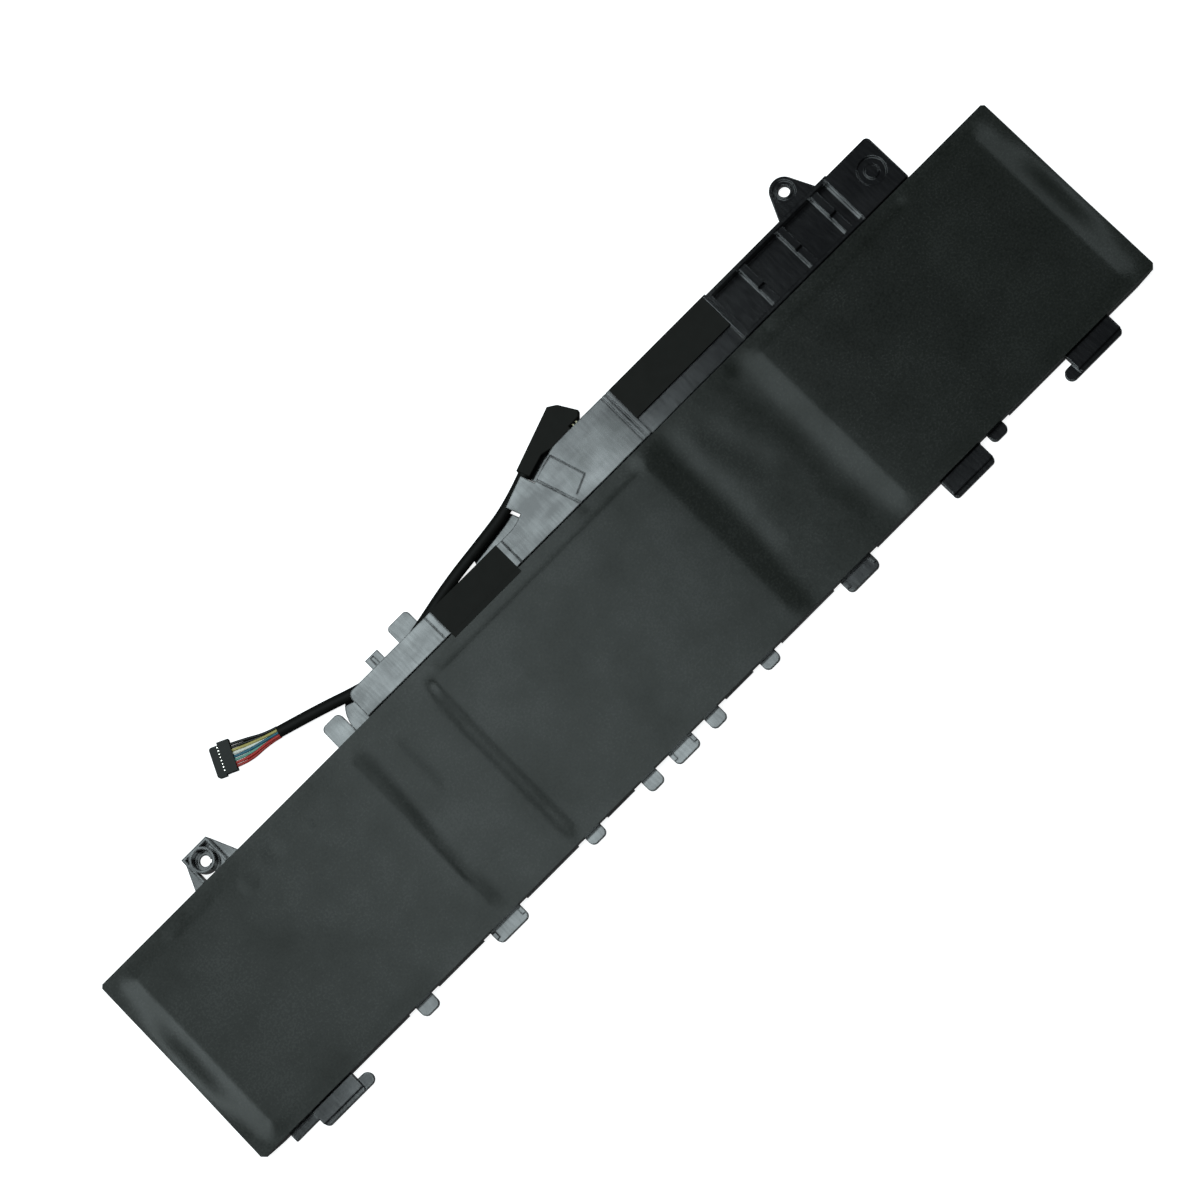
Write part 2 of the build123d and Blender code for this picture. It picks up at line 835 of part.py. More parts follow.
    # Locating tabs along the free side, with the foot cut back beside each low one
    for place, width, reach, height in tongues + hooks:
        block(
            place - width / 2 - notch_width,
            place + width / 2 + notch_width,
            -seam,
            notch_depth,
            film_thickness,
            foot_height,
            mode=Mode.SUBTRACT,
        )
        with BuildSketch(level(film_thickness)) as tongue:
            with Locations((place, notch_depth)):
                Rectangle(width, reach + notch_depth, align=(Align.CENTER, Align.MAX))
            fillet(tongue.vertices().group_by(Axis.Y)[0], tongue_radius)
        extrude(amount=height - film_thickness)
    for place, width, reach, height in hooks:
        for side in (-1, 1):
            x = place + side * (width - stop_wall) / 2
            block(
                x - stop_wall / 2,
                x + stop_wall / 2,
                tongue_radius - reach,
                -seam,
                film_thickness,
                height + seam,
            )
    for place, width, reach, height in stops:
        with BuildSketch(level(film_thickness)) as stop:
            with Locations((place, rail_width / 2)):
                Rectangle(width, reach + rail_width / 2, align=(Align.CENTER, Align.MAX))
            fillet(stop.vertices().group_by(Axis.Y)[0], stop_wall)
        extrude(amount=foot_height - slot_clearance - film_thickness)
        block(
            place - width / 2,
            place + width / 2,
            stop_wall - reach,
            -wrap_clearance,
            foot_height - slot_clearance,
            height,
        )
    for (place, width, reach, height), side in ((stops[0], 1), (stops[-1], -1)):
        with BuildSketch(level(film_thickness)):
            with Locations((place + side * width / 2, -reach + nub_radius)):
                SlotOverall(4 * nub_radius, 2 * nub_radius)
        extrude(amount=nub_height)
    place, width, reach, height = end_tongue
    block(place - width / 2, place + width / 2, -reach, rail_width / 2, film_thickness, height)

    # Undersides of the ends, which slope up
    add(under_slopes, mode=Mode.SUBTRACT)
finish(frame.part, "frame")

# Thermistor: a bead against the middle cell's seam, with a flat leg through its own slot to the board
bead_y0 = cell_y1 + fold_width
bead_y1 = bead_y0 + bead_depth
with BuildPart() as thermistor:
    block(
        thermistor_x - bead_length / 2,
        thermistor_x + bead_length / 2,
        bead_y0,
        bead_y1,
        link_bottom,
        link_bottom + bead_height,
    )
    fillet(thermistor.edges().filter_by(Axis.X).group_by(Axis.Z)[-1], bead_depth / 3)
    block(
        thermistor_x - leg_width / 2,
        thermistor_x + leg_width / 2,
        bead_y1,
        link_end,
        link_bottom,
        board_height,
    )
finish(thermistor.part, "thermistor")

# Films on the hidden side: one under the cells, whose ends follow the slopes, and one under the board
film_edge = rail_width / 2
film_lift = (under_slope_rise - film_thickness) * (1 - film_edge / under_slope_run)
film_plane = Plane((origin_x, origin_y + wrap_width - film_edge, 0), x_dir=(1, 0, 0), z_dir=(0, -1, 0))
with BuildPart() as bottom_film:
    with BuildSketch(film_plane):
        with BuildLine():
            Polyline(
                (under_slope_run, 0),
                (wrap_length - under_slope_run, 0),
                (wrap_length - film_edge, film_lift),
                (wrap_length - film_edge, film_lift + film_thickness),
                (wrap_length - under_slope_run, film_thickness),
                (under_slope_run, film_thickness),
                (film_edge, film_lift + film_thickness),
                (film_edge, film_lift),
                close=True,
            )
        make_face()
    extrude(amount=wrap_width - 2 * film_edge)
finish(bottom_film.part, "bottom_film")

with BuildPart() as housing_film:
    extrude(housing_outline(seam, 0, tray_start + wall), amount=film_thickness)
finish(housing_film.part, "housing_film")

# Tape that holds the wrap's hem and the duct's roof together, folded down over the roof's outer edge
tape_plane = Plane((origin_x + tape_start, origin_y, 0), x_dir=(0, 1, 0), z_dir=(1, 0, 0))
with BuildPart() as duct_tape:
    with BuildSketch(tape_plane):
        with BuildLine():
            Polyline(
                (wrap_width - tape_lap, shoulder_height),
                (wrap_width, shoulder_height),
                (housing_y, housing_top),
                (duct_y, housing_top),
                (duct_y, housing_top - tape_turn),
                (duct_y + film_thickness, housing_top - tape_turn),
                (duct_y + film_thickness, housing_top + film_thickness),
                (housing_y, housing_top + film_thickness),
                (wrap_width, shoulder_height + film_thickness),
                (wrap_width - tape_lap, shoulder_height + film_thickness),
                close=True,
            )
        make_face()
    extrude(amount=wide_start - tape_start)
finish(duct_tape.part, "duct_tape")

# Pad stuck on the lowered part of the housing beside the tray
with BuildPart() as housing_pad:
    block(
        pad_start,
        tray_start,
        housing_y + ledge_depth,
        wide_y,
        pad_level,
        pad_level + pad_thickness,
    )
finish(housing_pad.part, "housing_pad")

# Joints: the wires of the lead come through the housing's wall from the board and go in under the root
# tape, which is wound round the start of the lead. The last few show beside the tape.
tape_y = wide_y + wrap_clearance
shown_y = wide_y + joint_gap
with BuildPart() as wire_joints:
    for number in range(wire_count):
        x = joint_start + (number + 0.5) * joint_pitch
        start_y = board_wide_y - joint_reach
        end_y = shown_y if x > shown_start else tape_y
        start = (origin_x + x, origin_y + start_y, board_top + wire_diameter / 2)
        with Locations(Plane(start, z_dir=(0, 1, 0))):
            Cylinder(wire_diameter / 2, end_y - start_y, align=(Align.CENTER, Align.CENTER, Align.MIN))
finish(wire_joints.part, "wire_joints")

root_tape_points = [(shown_start, shown_y), (shown_start, tape_y), (slant_end, tape_y)]
root_tape_points.extend(along_slant(distance, outwards) for distance, outwards in root_tape_corners)
root_tape_points.append((joint_end + wire_diameter, shown_y))
tape_bottom = film_thickness + floor
with BuildPart() as root_tape:
    plate(root_tape_points, tape_bottom, tape_bottom + root_tape_height)
    fillet(root_tape.edges().group_by(Axis.Z)[-1], root_tape_edge)
finish(root_tape.part, "root_tape")

# Lead: a sleeve over eight wires. It leaves the root tape, runs under the lip and along the flange, through
# the duct, and comes down to the surface that the pack stands on.


def corner_radius(before, corner, after):
    """The largest arc that fits a corner of a route."""
    run_in = Vector(*corner) - Vector(*before)
    run_out = Vector(*after) - Vector(*corner)
    turn = radians(run_in.get_angle(run_out))
    return 0.45 * min(run_in.length, run_out.length) / tan(turn / 2)


root_places = [along_slant(12.9 - back, sleeve_outwards) for back in (0, 8.5)]
sleeve_places = [(x, y, sleeve_height) for x, y in root_places]
sleeve_places.extend(
    [
        (141.5, 69.45, sleeve_height),
        (128.5, 67.95, sleeve_height),
        (114.5, 64.95, sleeve_height),
        (102.8, 62.95, sleeve_height),
        (94.4, 65.05, sleeve_height),
        (84.0, 68.8, 2.3),
        (73.6, 72.0, 1.6),
    ]
)
sleeve_points = [(origin_x + x, origin_y + y, z) for x, y, z in sleeve_places]
sleeve_corners = zip(sleeve_points, sleeve_points[1:], sleeve_points[2:])
sleeve_radii = [corner_radius(*corner) for corner in sleeve_corners]
with BuildPart() as lead_sleeve:
    with BuildLine() as route:
        FilletPolyline(*sleeve_points, radius=sleeve_radii)
    with BuildSketch(Plane(route.line @ 0, z_dir=route.line % 0)):
        Circle(sleeve_diameter / 2)
    sweep()
finish(lead_sleeve.part, "lead_sleeve")
sleeve_length = route.wire().length
sleeve_share = lead_sleeve.part.volume / (sleeve_length * pi * sleeve_diameter**2 / 4)
print("sleeve: length", round(sleeve_length, 2), "share of its volume", round(sleeve_share, 4))
print("sleeve radii", [round(radius, 1) for radius in sleeve_radii])

# Connector: a flat plug turned across the end of the lead, its low front half carrying the contacts
plug_plane = Plane(
    (origin_x + connector_place[0], origin_y + wrap_width + connector_place[1], 0),
    x_dir=(cos(radians(connector_turn)), sin(radians(connector_turn)), 0),
    z_dir=(0, 0, 1),
)
rear_low, rear_high, rear_depth, rear_height = plug_rear
front_low, front_high, front_depth, front_height = plug_front
with BuildPart(plug_plane) as connector_body:
    with Locations((rear_low, 0, 0)):
        Box(rear_high - rear_low, rear_depth, rear_height, align=Align.MIN)
    with Locations((front_low, rear_depth, 0)):
        Box(front_high - front_low, front_depth, front_height, align=Align.MIN)
finish(connector_body.part, "connector_body")

contact_places = [(number - (wire_count - 1) / 2) * contact_pitch for number in range(wire_count)]
with BuildPart(plug_plane) as contacts:
    with Locations(*[(place, rear_depth, front_height) for place in contact_places]):
        Box(contact_width, contact_length, contact_height, align=(Align.CENTER, Align.MIN, Align.MIN))
finish(contacts.part, "contacts")

# Wires: they leave the sleeve in two staggered rows and fan out straight into one row at the plug's rear
sleeve_end = Vector(*sleeve_points[-1])
lead_way = (sleeve_end - Vector(*sleeve_points[-2])).normalized()
across = Vector(-lead_way.Y, lead_way.X, 0).normalized()
upwards = across.cross(lead_way)
for number, place in enumerate(reversed(contact_places)):
    column = (wire_count - 1) / 2 - number
    row = 0.5 if number % 2 == 0 else -0.5
    start = sleeve_end - across * (column * wire_column_gap) + upwards * (row * wire_row_gap)
    run = plug_plane.from_local_coords(Vector(place, 0, rear_height / 2)) - start
    way = run.normalized()
    with BuildPart(Plane(start + way * wire_clearance, z_dir=way)) as wire:
        Cylinder(
            wire_diameter / 2,
            run.length - 2 * wire_clearance,
            align=(Align.CENTER, Align.CENTER, Align.MIN),
        )
    finish(wire.part, f"wire_{number + 1}")
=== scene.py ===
import bmesh
import bpy
from math import cos, pi, radians, sin
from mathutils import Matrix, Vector


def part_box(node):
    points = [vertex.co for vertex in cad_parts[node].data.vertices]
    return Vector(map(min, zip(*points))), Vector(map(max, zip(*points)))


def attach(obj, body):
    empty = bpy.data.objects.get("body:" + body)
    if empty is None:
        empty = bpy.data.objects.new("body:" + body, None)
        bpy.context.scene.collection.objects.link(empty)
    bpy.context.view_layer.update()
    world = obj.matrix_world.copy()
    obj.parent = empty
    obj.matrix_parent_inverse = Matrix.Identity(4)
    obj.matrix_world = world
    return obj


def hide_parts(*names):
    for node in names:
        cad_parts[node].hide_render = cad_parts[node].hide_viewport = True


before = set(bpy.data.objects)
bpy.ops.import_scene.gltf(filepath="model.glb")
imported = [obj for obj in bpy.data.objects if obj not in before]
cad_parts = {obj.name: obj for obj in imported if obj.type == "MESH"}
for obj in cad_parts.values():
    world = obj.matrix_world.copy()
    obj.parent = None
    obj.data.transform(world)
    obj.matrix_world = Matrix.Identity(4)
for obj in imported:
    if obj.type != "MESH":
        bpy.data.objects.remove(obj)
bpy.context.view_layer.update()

# Camera: the pack is photographed from almost straight above, lying diagonally across the picture. The
# lens is long, so the free long side shows only as a thin band. Its place and turn are fitted to the corners
# of the pack in the picture.
camera_data = bpy.data.cameras.new("camera")
camera_data.lens = 120
camera_data.sensor_width = 36
camera_data.clip_end = 20
camera = bpy.data.objects.new("camera", camera_data)
camera.location = (-0.006098, -0.184969, 0.950405)
camera.rotation_euler = (0.1420999, 0.1316054, -0.7774366)
bpy.context.scene.collection.objects.link(camera)
bpy.context.scene.camera = camera
bpy.context.scene.view_settings.view_transform = "Standard"


# Lead sleeve: a limp black plastic sleeve over eight thin wires. It starts under the root tape, runs under
# the housing's lip and through the open duct, and comes down to the surface beside the left screw ear.
def at(x, y, z):
    """A place in metres, from millimetres along and across the pack from the wrap's corner, and up."""
    return Vector(((x - 151) / 1000, (y - 38.1) / 1000, z / 1000))


def soft_line(name, places, diameter):
    """A round lead or wire that follows a smooth line past the places, all in millimetres."""
    curve = bpy.data.curves.new(name, "CURVE")
    curve.dimensions = "3D"
    curve.bevel_depth = 1
    curve.bevel_resolution = 6
    curve.use_fill_caps = True
    line = curve.splines.new("NURBS")
    line.points.add(len(places) - 1)
    for point, place in zip(line.points, places):
        point.co = (*at(*place), 1)
        point.radius = diameter / 2000
    line.order_u = 3
    line.use_endpoint_u = True
    line.resolution_u = 12
    piece = bpy.data.objects.new(name, curve)
    bpy.context.scene.collection.objects.link(piece)
    return piece


sleeve_diameter = 3.0
sleeve_places = [
    (159.91, 73.94, 2.55),
    (151.95, 70.95, 2.55),
    (141.5, 69.45, 2.55),
    (128.5, 67.95, 2.55),
    (114.5, 64.95, 2.55),
    (102.8, 62.95, 2.55),
    (94.4, 65.05, 2.55),
    (84.0, 68.8, 2.3),
    (73.6, 72.0, 1.6),
]
sleeve = soft_line("sleeve", sleeve_places, sleeve_diameter)
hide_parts("lead_sleeve")
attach(sleeve, "root")


class Signal:
    """An output socket. Sums, differences and products of signals add their Math nodes."""

    def __init__(self, socket):
        self.socket = socket
        self.tree = socket.id_data

    def maths(self, operation, *others):
        made = finish_node(self.tree, "ShaderNodeMath", {"operation": operation}, dict(enumerate(others)))
        return Signal(made.outputs[0])

    def __add__(self, other):
        return self.maths("ADD", self, other)

    def __sub__(self, other):
        return self.maths("SUBTRACT", self, other)

    def __rsub__(self, other):
        return self.maths("SUBTRACT", other, self)

    def __mul__(self, other):
        return self.maths("MULTIPLY", self, other)

    __radd__ = __add__
    __rmul__ = __mul__


def fill(made, sockets):
    """Links signals to a node's sockets, named or numbered, or sets the sockets' own values."""
    for name, value in sockets.items():
        if isinstance(name, int):
            place = made.inputs[name]
        else:
            place = next(socket for socket in made.inputs if socket.name == name and socket.enabled)
        if isinstance(value, Signal):
            value.tree.links.new(value.socket, place)
        else:
            place.default_value = value


def finish_node(tree, kind, settings, sockets):
    """A node of any kind: its settings first, then the values or links of its sockets."""
    made = tree.nodes.new(kind)
    for name, setting in settings.items():
        setattr(made, name, setting)
    fill(made, sockets)
    return made


def new_finish(name):
    """A plain finish, its tree and its shader."""
    made = bpy.data.materials.new(name)
    made.use_nodes = True
    return made, made.node_tree, made.node_tree.nodes["Principled BSDF"]


def grain(tree, size, stretch=(1, 1, 1), detail=3.0):
    """Fine irregular noise in millimetres on the object's own coordinates, from about 0 to 1."""
    place = finish_node(tree, "ShaderNodeTexCoord", {}, {})
    scaled = finish_node(
        tree,
        "ShaderNodeMapping",
        {},
        {"Vector": Signal(place.outputs["Object"]), "Scale": [1000 / size / part for part in stretch]},
    )
    noise = finish_node(
        tree,
        "ShaderNodeTexNoise",
        {},
        {"Vector": Signal(scaled.outputs[0]), "Scale": 1.0, "Detail": detail},
    )
    return Signal(noise.outputs[0])


def shade(tree, low, high, share):
    """A colour between two, by a signal."""
    mixed = finish_node(
        tree,
        "ShaderNodeMix",
        {"data_type": "RGBA"},
        {"Factor": share, "A": (*low, 1), "B": (*high, 1)},
    )
    return Signal(next(socket for socket in mixed.outputs if socket.enabled))


def relief(tree, shader, height, step, strength=0.6, edge=0):
    """Raises the surface by a signal times a step in millimetres, and rounds its edges to a radius."""
    sockets = {"Height": height, "Distance": step / 1000, "Strength": strength}
    if edge:
        eased = finish_node(tree, "ShaderNodeBevel", {"samples": 6}, {"Radius": edge / 1000})
        sockets["Normal"] = Signal(eased.outputs[0])
    bump = finish_node(tree, "ShaderNodeBump", {}, sockets)
    fill(shader, {"Normal": Signal(bump.outputs[0])})


def dress(piece, finish):
    """Gives a piece one finish in place of what it has."""
    piece.data.materials.clear()
    piece.data.materials.append(finish)


sleeve_finish, tree, shader = new_finish("sleeve_black")
sleeve_black = shade(tree, (0.002, 0.002, 0.002), (0.006, 0.006, 0.005), grain(tree, 1.6))
fill(shader, {"Base Color": sleeve_black, "Roughness": 0.6, "Specular IOR Level": 0.08})
relief(tree, shader, grain(tree, 0.35), 0.05)
dress(sleeve, sleeve_finish)

# Wires: eight wires with soft coloured insulation, two of them black and two red. They leave the sleeve in
# two rows, fan out into one row and are pressed into the plug.
wire_colours = (
    ("black", (0.003, 0.003, 0.002)),
    ("black", (0.004, 0.004, 0.002)),
    ("yellow", (0.3, 0.26, 0.08)),
    ("white", (0.5, 0.52, 0.46)),
    ("blue", (0.015, 0.09, 0.13)),
    ("green", (0.1, 0.24, 0.19)),
    ("red", (0.3, 0.02, 0.015)),
    ("red", (0.24, 0.014, 0.01)),
)
wire_diameter = 0.74
gap_in_sleeve = 0.34
gap_in_plug = 0.8
row_height = 0.3
straight_out = 3.2
straight_in = 3.8
plug_place = Vector((61.4, 76.2))
plug_turn = radians(65)
plug_along = Vector((cos(plug_turn), sin(plug_turn)))
plug_ahead = Vector((-sin(plug_turn), cos(plug_turn)))
sleeve_end = Vector(sleeve_places[-1])
sleeve_way = (sleeve_end - Vector(sleeve_places[-2])).normalized()
sleeve_across = Vector((-sleeve_way.y, sleeve_way.x, 0)).normalized()
wires = []
for number, (name, colour) in enumerate(wire_colours):
    side = (len(wire_colours) - 1) / 2 - number
    row = row_height if number % 2 == 0 else -row_height
    start = sleeve_end - sleeve_across * side * gap_in_sleeve + Vector((0, 0, row))
    entry = plug_place + plug_along * side * gap_in_plug
    places = [
        start - sleeve_way * 0.05,
        start + sleeve_way * straight_out,
        (*(entry - plug_ahead * straight_in), 1.15 + 0.25 * cos(side)),
        (*(entry - plug_ahead * 0.25), 1.1),
    ]
    wire = soft_line(f"lead_wire_{number + 1}", places, wire_diameter)
    wire_finish, tree, shader = new_finish(f"wire_{name}_{number + 1}")
    dull = tuple(0.75 * part for part in colour)
    wire_colour = shade(tree, colour, dull, grain(tree, 0.9))
    fill(shader, {"Base Color": wire_colour, "Roughness": 0.4, "Specular IOR Level": 0.2})
    relief(tree, shader, grain(tree, 0.5), 0.03)
    dress(wire, wire_finish)
    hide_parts(f"wire_{number + 1}")
    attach(wire, "root")
    wires.append(wire)

# Plug: a flat moulded plug of black plastic. Its front half is lower, its rear is hollow for the wires and
# its ends are recessed.
off_centre = 0.00015
rear_width = 0.0081
rear_height = 0.0022
rear_depth = 0.003
front_size = (0.98, 1, 0.705)
front_shift = -0.0005
front_depth = 0.0024
half_line = 0.0026
end_wall = 0.0005
rear_wall = 0.0004
recess = 0.0003
front_rounding = 0.0007
edge_rounding = 0.0001
bpy.ops.object.select_all(action="DESELECT")
rear_centre = (off_centre, half_line - rear_depth / 2, rear_height / 2)
bpy.ops.mesh.primitive_cube_add(size=1, location=rear_centre)
plug = bpy.context.object
plug.name = "plug"
plug.scale = (rear_width, rear_depth, rear_height)
bpy.ops.object.transform_apply(location=True, rotation=False, scale=True)


def unpicked(piece):
    """In edit mode, a piece's mesh with nothing on it selected."""
    mesh = bmesh.from_edit_mesh(piece.data)
    for part in (*mesh.faces, *mesh.edges, *mesh.verts):
        part.select = False
    return mesh


def pick_faces(piece, way):
    """In edit mode, picks the outermost faces of a piece on one side."""
    mesh = unpicked(piece)
    facing = [face for face in mesh.faces if face.normal.dot(Vector(way)) > 0.99]
    farthest = max(face.calc_center_median().dot(Vector(way)) for face in facing)
    for face in facing:
        face.select = face.calc_center_median().dot(Vector(way)) > farthest - 0.00001
    bmesh.update_edit_mesh(piece.data)


def pick_edges(piece, wanted):
    """In edit mode, picks the edges of a piece that pass a test."""
    mesh = unpicked(piece)
    for edge in mesh.edges:
        if wanted(edge):
            edge.select = True
    bmesh.update_edit_mesh(piece.data)


def stands_in_front(edge):
    """Whether an edge is one of the two upright ones at the plug's front."""
    start, end = (vert.co for vert in edge.verts)
    return min(start.y, end.y) > half_line + front_depth - 0.0001 and abs(start.z - end.z) > 0.001


bpy.ops.object.mode_set(mode="EDIT")
for side in (-1, 1):
    pick_faces(plug, (side, 0, 0))
    bpy.ops.mesh.inset(thickness=end_wall)
    bpy.ops.mesh.extrude_region_move(TRANSFORM_OT_translate={"value": (-side * recess, 0, 0)})
pick_faces(plug, (0, -1, 0))
bpy.ops.mesh.inset(thickness=rear_wall)
bpy.ops.mesh.extrude_region_move(TRANSFORM_OT_translate={"value": (0, recess, 0)})
pick_faces(plug, (0, 1, 0))
bpy.ops.mesh.extrude_region_move(TRANSFORM_OT_translate={"value": (0, 0, 0)})
bpy.ops.transform.resize(value=front_size, center_override=(0, half_line, 0.00017))
bpy.ops.transform.translate(value=(front_shift, 0, 0))
bpy.ops.mesh.extrude_region_move(TRANSFORM_OT_translate={"value": (0, front_depth, 0)})
pick_edges(plug, stands_in_front)
bpy.ops.mesh.bevel(offset=front_rounding, segments=4, affect="EDGES")
bpy.ops.mesh.select_all(action="SELECT")
bpy.ops.mesh.bevel(offset=edge_rounding, segments=2, affect="EDGES", clamp_overlap=True)
bpy.ops.object.mode_set(mode="OBJECT")
plug.rotation_euler = (0, 0, plug_turn)
plug.location = at(*plug_place, 0)
bpy.ops.object.transform_apply(location=True, rotation=True, scale=True)
plug_finish, tree, shader = new_finish("plug_black")
plug_black = shade(tree, (0.003, 0.004, 0.003), (0.007, 0.008, 0.007), grain(tree, 1.2))
fill(shader, {"Base Color": plug_black, "Roughness": 0.5, "Specular IOR Level": 0.12})
relief(tree, shader, grain(tree, 0.25), 0.02)
dress(plug, plug_finish)
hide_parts("connector_body")
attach(plug, "root")

# Contacts: eight small plated contacts, one to a wire, held in the plug. Their ends show in the step
# between its halves.
contact_pitch = 0.84
contact_ahead = 2.75
contact_height = 1.68
contact_size = (0.00022, 0.00026, 0.0002)
row_start = 0.1 - (len(wires) - 1) / 2 * contact_pitch
first_contact = at(*(plug_place + plug_along * row_start + plug_ahead * contact_ahead), contact_height)
bpy.ops.object.select_all(action="DESELECT")
bpy.ops.mesh.primitive_cube_add(size=1, location=first_contact, rotation=(0, 0, plug_turn))
contacts = bpy.context.object
contacts.name = "plated_contacts"
contacts.scale = contact_size
bpy.ops.object.transform_apply(location=True, rotation=True, scale=True)
bpy.ops.object.mode_set(mode="EDIT")
to_next = (*(plug_along * contact_pitch / 1000), 0)
for number in range(len(wires) - 1):
    bpy.ops.mesh.duplicate_move(TRANSFORM_OT_translate={"value": to_next})
bpy.ops.object.mode_set(mode="OBJECT")
contact_finish, tree, shader = new_finish("contact_metal")
worn = 0.22 + 0.25 * grain(tree, 0.3)
fill(shader, {"Base Color": (0.78, 0.76, 0.68, 1), "Metallic": 1, "Roughness": worn})
dress(contacts, contact_finish)
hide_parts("contacts")
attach(contacts, "root")

# Lead: on the real lead the wires, the plug and its contacts hang on the sleeve's free end, and the housing
# holds its other end. Here they are all attached to the root body, and the place of the held end is worked
# out but not used.
at(*sleeve_places[0])

# Frame: one glossy black moulding of hard plastic, with faint flow lines along the pack. It holds the cells,
# the board and the lead, and mirrors the lamps.
gloss, tree, shader = new_finish("frame_black")
flow = grain(tree, 9, (2, 0.8, 1))
streaks = grain(tree, 0.9, (0.6, 5, 1))
fill(
    shader,
    {
        "Base Color": shade(tree, (0.0015, 0.0015, 0.002), (0.004, 0.004, 0.0045), streaks),
        "Roughness": 0.1 + 0.08 * streaks,
        "Specular IOR Level": 0.3,
        "Coat Weight": 1.7 * flow + 0.6 * streaks - 0.95,
        "Coat Roughness": 0.12,
    },
)
relief(tree, shader, flow + 0.04 * streaks, 0.05, strength=0.3, edge=0.45)
dress(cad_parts["frame"], gloss)

# Wrap: a thin matte black film shrunk over the cells and down over the rails. It sinks between the cells,
# over their terraces and beside their folded seams, and is creased where it was drawn tight.
margin = 0.0001
squares_long = 403
squares_wide = 77
low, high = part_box("top_film")
bpy.ops.object.select_all(action="DESELECT")
bpy.ops.mesh.primitive_grid_add(x_subdivisions=squares_long, y_subdivisions=squares_wide, size=1)
wrap = bpy.context.object
wrap.name = "wrap"
wrap.scale = (high.x - low.x - margin, high.y - low.y - margin, 1)
wrap.location = ((low.x + high.x) / 2, (low.y + high.y) / 2, 0.006)
bpy.ops.object.transform_apply(location=True, rotation=False, scale=True)


def cut(spot, way):
    """Trims what lies beyond a plane off the piece in hand."""
    bpy.ops.mesh.select_all(action="SELECT")
    bpy.ops.mesh.bisect(plane_co=spot, plane_no=way, clear_outer=True)


# Each corner is rounded by three cuts.
corner = 0.0013
bpy.ops.object.mode_set(mode="EDIT")
for side_x, edge_x in ((-1, low.x), (1, high.x)):
    for side_y, edge_y in ((-1, low.y), (1, high.y)):
        centre = Vector((edge_x - side_x * corner, edge_y - side_y * corner, 0))
        for turn in (22.5, 45, 67.5):
            way = Vector((side_x * cos(radians(turn)), side_y * sin(radians(turn)), 0))
            cut(centre + way * corner, way)
bpy.ops.object.mode_set(mode="OBJECT")

# The film comes down on the wrap of the CAD model, and eases over its edges.
cover = wrap.modifiers.new("cover", "SHRINKWRAP")
cover.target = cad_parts["top_film"]
cover.wrap_method = "PROJECT"
cover.use_project_z = True
cover.use_negative_direction = True
cover.use_positive_direction = False
bpy.ops.object.modifier_apply(modifier=cover.name)
relax = wrap.modifiers.new("relax", "SMOOTH")
relax.use_x = False
relax.use_y = False
relax.iterations = 40
bpy.ops.object.modifier_apply(modifier=relax.name)

# Each crease: its depth and half width in millimetres, and the places it runs past. The film is pulled down
# along it, and what lies beside it follows softly.
creases = (
    (0.08, 3.6, ((82.4, 14), (83.6, 24), (86.4, 36), (87.6, 45), (87.8, 51))),
    (0.14, 3.0, ((91.5, 48), (91.0, 34))),
    (0.12, 3.4, ((105.4, 4), (105.5, 20), (105.8, 40), (106.6, 50))),
    (0.2, 2.2, ((106.4, 51), (107.4, 54.6), (110.0, 55.2))),
    (0.3, 2.3, ((113.0, 55), (120.0, 55), (150.0, 55), (180.0, 55.4))),
    (0.1, 4.6, ((190.6, 54), (189.6, 46), (190.2, 32), (189.2, 18))),
    (0.07, 5.0, ((199.0, 48), (202.0, 34))),
    (0.07, 5.0, ((211.4, 53.4), (213.2, 42), (213.4, 30), (212.4, 19), (213.6, 9))),
    (0.22, 2.3, ((214.0, 55.4), (240.0, 55), (270.0, 55))),
    (0.14, 1.2, ((20.4, 54.7), (33.2, 54.1))),
)
beside_crease = 0.0005
bpy.ops.object.mode_set(mode="EDIT")
for depth, half_width, run in creases:
    mesh = unpicked(wrap)
    run = [at(x, y, 0).xy for x, y in run]
    for vert in mesh.verts:
        for start, end in zip(run, run[1:]):
            way = end - start
            share = max(0, min(1, (vert.co.xy - start).dot(way) / way.length_squared))
            if (vert.co.xy - start - way * share).length < beside_crease:
                vert.select = True
    mesh.select_flush_mode()
    bmesh.update_edit_mesh(wrap.data)
    bpy.ops.transform.translate(
        value=(0, 0, -depth / 1000),
        use_proportional_edit=True,
        proportional_edit_falloff="SMOOTH",
        proportional_size=half_width / 1000,
    )
bpy.ops.mesh.select_all(action="SELECT")
bpy.ops.mesh.vertices_smooth(factor=0.5, repeat=4, xaxis=False, yaxis=False, zaxis=True)

# The film rests on the cells, however deep it was creased.
over_cell = 0.00013
bpy.ops.object.mode_set(mode="OBJECT")
for name in ("cell_left", "cell_middle", "cell_right"):
    rest = wrap.modifiers.new("rest", "SHRINKWRAP")
    rest.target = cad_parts[name]
    rest.wrap_mode = "OUTSIDE"
    rest.offset = over_cell
    bpy.ops.object.modifier_apply(modifier=rest.name)
bpy.ops.object.mode_set(mode="EDIT")
bpy.ops.mesh.select_all(action="SELECT")
bpy.ops.mesh.vertices_smooth(factor=0.5, repeat=1, xaxis=False, yaxis=False, zaxis=True)

